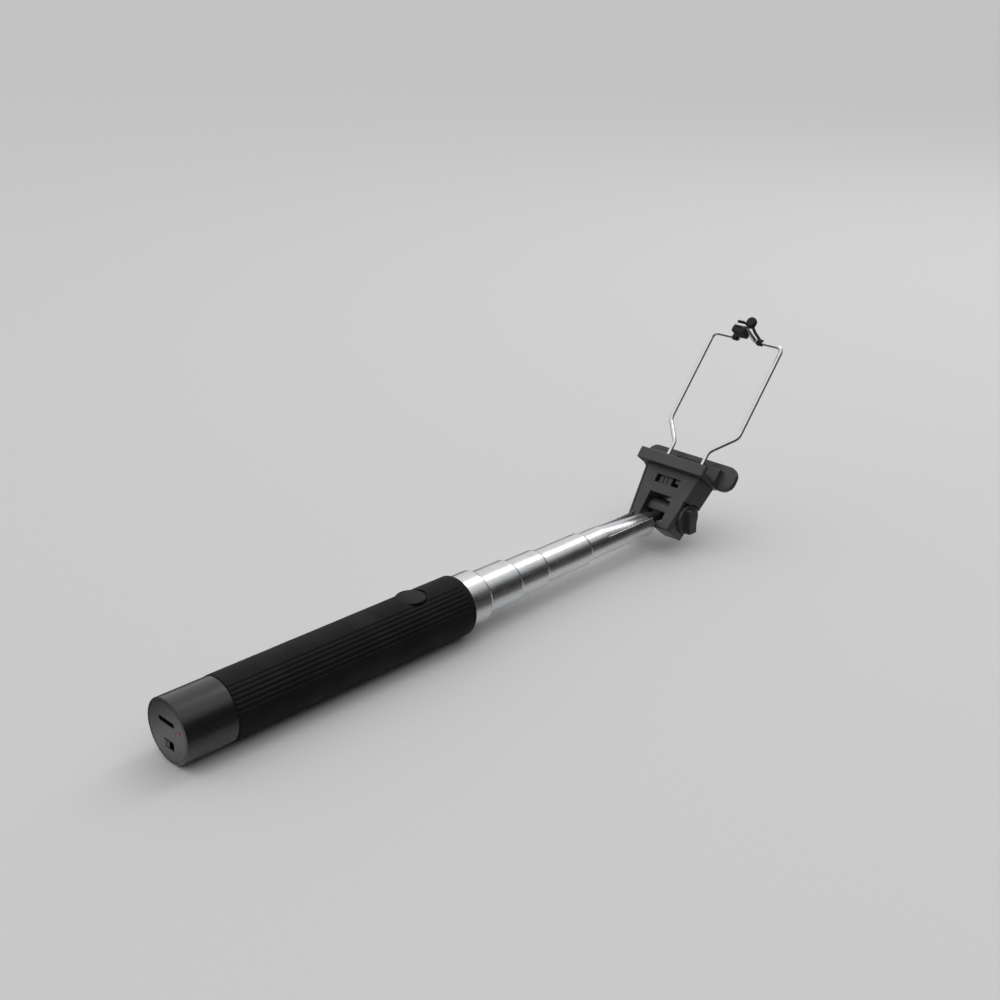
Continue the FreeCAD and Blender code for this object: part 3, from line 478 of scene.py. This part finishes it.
# Grooves run along X. Angles are in degrees from +Y towards +Z.
LEFT_GROOVES = [119.5 + 8.5 * i for i in range(6)]
GROOVES = LEFT_GROOVES + [180 - angle for angle in LEFT_GROOVES]
GROOVE_DEPTH = 0.00032
GROOVE_HALF_WIDTH = 0.00055 * 1.2
GROOVE_END_X = 0.1316       # the grooves run out here,
GROOVE_FADE = 0.0016        # fading over this length
FINE_SPANS = ((14, 66), (114, 166.9))   # angles with closely spaced columns
FINE_STEP, COARSE_STEP = 0.68, 2.5

ROLL_LENGTH, ROLL_DEPTH = 0.0014, 0.0013        # rounding of the +X end
START_LENGTH, START_DEPTH = 0.0003, 0.00028     # rounding of the -X end
START_ROWS = (0.0, 0.00012, 0.0003)             # distances from the -X end
END_ROWS = (0.00145, 0.0011, 0.0008, 0.0005, 0.00028, 0.00012, 0.00003, 0.0)    # and from +X
WAVE_HEIGHT = 0.000018      # slight waviness of a pulled-on tube

BUTTON_X = (button_low.x + button_high.x) / 2
HOLE_RADIUS = 0.00632
HOLE_FLARE = 0.00030        # how far the mouth of the hole opens beyond its radius
# rolled edge of the hole: distance beyond its radius, drop below the outer skin
HOLE_ROLL = ((0.00016, 0.00003), (0.00005, 0.00010), (0.0, 0.00024))


def grip_angles():
    angles, angle = [], -90.0
    while angle < 270.0 - 1e-6:
        angles.append(angle)
        fine = any(first < angle < last for first, last in FINE_SPANS)
        angle += FINE_STEP if fine else COARSE_STEP
    return angles


def grip_rows():
    """Places of the rings along X, closer together round the button."""
    rows = [GRIP_START + inset for inset in START_ROWS]
    x = GRIP_START + 0.0007
    while x < GRIP_END - 0.0016:
        rows.append(x)
        x += 0.00030 if abs(x - BUTTON_X) < 0.0078 else 0.00075
    return rows + [GRIP_END - inset for inset in END_ROWS]


def smoothstep(t):
    t = max(0.0, min(1.0, t))
    return t * t * (3 - 2 * t)


def skin_radius(x, angle):
    radius = OUTER_RADIUS
    inset = GRIP_END - x
    if inset < ROLL_LENGTH:
        t = 1 - inset / ROLL_LENGTH
        radius -= ROLL_DEPTH * (1 - math.sqrt(1 - t * t))
    inset = x - GRIP_START
    if inset < START_LENGTH:
        radius -= START_DEPTH * (1 - inset / START_LENGTH) ** 2
    nearest = min(abs((angle - groove + 180) % 360 - 180) for groove in GROOVES)
    across = min(1.0, math.radians(nearest) * OUTER_RADIUS / GROOVE_HALF_WIDTH)
    groove = (0.5 + 0.5 * math.cos(math.pi * across)) ** 0.8
    radius -= GROOVE_DEPTH * groove * smoothstep((GROOVE_END_X - x) / GROOVE_FADE)
    wave = math.sin(x * 310 + angle * 0.05) * math.sin(math.radians(angle) * 3 + x * 90)
    return radius + WAVE_HEIGHT * wave


def on_hole(point, circle_radius, shell_radius, shell_z, drop=0.0):
    """The point pulled onto a circle round the button, on top of a cylinder along X."""
    dx, dy = point[0] - BUTTON_X, point[1]
    distance = math.hypot(dx, dy)
    y = dy * circle_radius / distance
    z = shell_z + math.sqrt(shell_radius * shell_radius - y * y) - drop
    return [BUTTON_X + dx * circle_radius / distance, y, z]


def hole_chain(verts, outer, inner):
    """Vertices down the wall of the hole, from an outer vertex to the inner one below it."""
    rim = on_hole(verts[outer], HOLE_RADIUS + HOLE_FLARE, OUTER_RADIUS, OUTER_Z)
    verts[outer] = rim
    verts[inner] = on_hole(verts[inner], HOLE_RADIUS, BORE_RADIUS, 0.0)
    chain = [outer]
    for beyond, drop in HOLE_ROLL:
        chain.append(len(verts))
        verts.append(on_hole(rim, HOLE_RADIUS + beyond, OUTER_RADIUS, OUTER_Z, drop))
    return chain + [inner]


def build_grip():
    angles, rows = grip_angles(), grip_rows()
    columns = len(angles)
    verts = []
    for x in rows:
        for angle in angles:
            radius, turn = skin_radius(x, angle), math.radians(angle)
            verts.append([x, radius * math.cos(turn), OUTER_Z + radius * math.sin(turn)])
    for x in rows:
        for turn in map(math.radians, angles):
            verts.append([x, BORE_RADIUS * math.cos(turn), BORE_RADIUS * math.sin(turn)])

    def outer(i, j):
        return i * columns + j

    def inner(i, j):
        return (len(rows) + i) * columns + j

    def in_hole(i, j):
        x, y, z = verts[outer(i, j)]
        return z > 0 and math.hypot(x - BUTTON_X, y) < HOLE_RADIUS

    # a quad is left open if any of its corners lies in the hole
    quads = [(i, j, (j + 1) % columns) for i in range(len(rows) - 1) for j in range(columns)]
    open_quads = set()
    for i, j, k in quads:
        if in_hole(i, j) or in_hole(i, k) or in_hole(i + 1, j) or in_hole(i + 1, k):
            open_quads.add((i, j))

    faces = []
    for i, j, k in quads:
        if (i, j) not in open_quads:
            faces.append((outer(i, j), outer(i, k), outer(i + 1, k), outer(i + 1, j)))
            faces.append((inner(i, j), inner(i + 1, j), inner(i + 1, k), inner(i, k)))
    for i in (0, len(rows) - 1):
        for j in range(columns):
            k = (j + 1) % columns
            quad = (outer(i, j), inner(i, j), inner(i, k), outer(i, k))
            faces.append(quad if i == 0 else quad[::-1])

    # wall of the button hole, along the edges between open and closed quads
    hole_edges = []
    for i, j in open_quads:
        k = (j + 1) % columns
        for start, end, neighbour in (
                ((i, j), (i, k), (i - 1, j)),
                ((i + 1, j), (i + 1, k), (i + 1, j)),
                ((i, j), (i + 1, j), (i, (j - 1) % columns)),
                ((i, k), (i + 1, k), (i, k))):
            if neighbour not in open_quads:
                hole_edges.append((start, end))
    chains = {}
    for edge in hole_edges:
        for point in edge:
            if point not in chains:
                chains[point] = hole_chain(verts, outer(*point), inner(*point))
    for start, end in hole_edges:
        a, b = chains[start], chains[end]
        for s in range(len(a) - 1):
            faces.append((a[s], b[s], b[s + 1], a[s + 1]))

    mesh = bpy.data.meshes.new("grip_rubber")
    mesh.from_pydata(verts, [], faces)
    mesh.validate()
    bm = bmesh.new()
    bm.from_mesh(mesh)
    # drops the bore vertices' and skin vertices' coincident copies, if any
    bmesh.ops.remove_doubles(bm, verts=bm.verts, dist=1e-7)
    bmesh.ops.recalc_face_normals(bm, faces=bm.faces)
    bm.to_mesh(mesh)
    bm.free()
    for polygon in mesh.polygons:
        polygon.use_smooth = True
    obj = bpy.data.objects.new("grip_rubber", mesh)
    scene.collection.objects.link(obj)
    stand_in(obj, "grip_sleeve", "handle", "grip_rubber")


build_grip()

flattened("return_springs", "return_springs_coils")
flattened("button_dome", "button_dome_leaf")
softened("hook_pad", voxel=0.00016, smooth_steps=10)
softened("pull_tab", voxel=0.00016, smooth_steps=8)
softened("jaw_pad", voxel=0.00013, smooth_steps=3)
softened("shutter_button", voxel=0.00013, smooth_steps=4)


# ------------------------------------------------------------------ floor, light and camera
def build_floor():
    floor_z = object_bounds()[0].z - 0.00002
    bpy.ops.mesh.primitive_circle_add(vertices=96, radius=7.0, fill_type="NGON",
                                      location=(0.15, 0, floor_z))
    floor = bpy.context.object
    floor.name = "floor"
    floor.data.materials.append(floor_paper("floor_paper"))


def build_world():
    """A grey studio: dim towards -Y near the horizon, pale towards +Y and overhead."""
    world = scene.world or bpy.data.worlds.new("studio")
    scene.world = world
    world.use_nodes = True
    world.node_tree.nodes.clear()
    g = Graph(world.node_tree)
    axes = g.node("ShaderNodeSeparateXYZ", {0: g.coords["Generated"]}).outputs
    side = g.span(axes["Y"], lo=-0.45, hi=0.40, out_lo=0.045, out_hi=0.88)
    overhead = g.span(axes["Z"], lo=0.38, hi=0.80)
    horizon = g.span(axes["Z"], lo=-0.02, hi=0.26, out_lo=0.35, out_hi=1.0)
    # input 3 is the overhead brightness
    sky = g.node("ShaderNodeMix", {0: overhead, 2: side, 3: 0.95}, data_type="FLOAT").outputs[0]
    lit = g.node("ShaderNodeBackground",
                 {"Color": (1.0, 1.0, 1.0), "Strength": g.times(sky, horizon)})
    # the camera sees a plain backdrop instead
    seen = g.node("ShaderNodeBackground", {"Color": (0.68, 0.68, 0.69), "Strength": 0.9})
    rays = g.node("ShaderNodeLightPath").outputs
    pick = g.node("ShaderNodeMixShader",
                  {0: rays["Is Camera Ray"], 1: lit.outputs[0], 2: seen.outputs[0]})
    g.node("ShaderNodeOutputWorld", {"Surface": pick.outputs[0]})


def softbox(name, direction, distance, size, radiance, target):
    """A rectangular light at a distance from the target, facing it."""
    light = bpy.data.lights.new(name, "AREA")
    light.shape = "RECTANGLE"
    light.size, light.size_y = size
    light.energy = radiance * math.pi * size[0] * size[1]
    light.spread = math.pi
    obj = bpy.data.objects.new(name, light)
    scene.collection.objects.link(obj)
    away = Vector(direction).normalized()
    obj.location = Vector(target) + away * distance
    obj.rotation_mode = "QUATERNION"
    obj.rotation_quaternion = away.to_track_quat("Z", "Y")


def build_camera(location, heading, dip):
    """A camera looking heading degrees from +X towards +Y, and dip degrees down."""
    lens_data = bpy.data.cameras.new("camera")
    lens_data.lens = 50.0
    lens_data.sensor_width = 36.0
    lens_data.clip_start = 0.01
    lens_data.clip_end = 60.0
    camera = bpy.data.objects.new("camera", lens_data)
    scene.collection.objects.link(camera)
    heading, dip = math.radians(heading), math.radians(dip)
    look = Vector((math.cos(heading) * math.cos(dip), math.sin(heading) * math.cos(dip),
                   -math.sin(dip)))
    camera.location = location
    camera.rotation_mode = "QUATERNION"
    camera.rotation_quaternion = look.to_track_quat("-Z", "Y")
    scene.camera = camera


build_floor()
build_world()
softbox("key", direction=(0.653, 0.05, 0.755), distance=1.3, size=(0.38, 0.80), radiance=2.4,
        target=(0.17, 0.0, 0.0))
build_camera(location=(-0.206435, -0.365808, 0.252143), heading=45, dip=22.5)
scene.view_settings.view_transform = "Standard"
scene.view_settings.look = "None"
scene.view_settings.exposure = 0.0
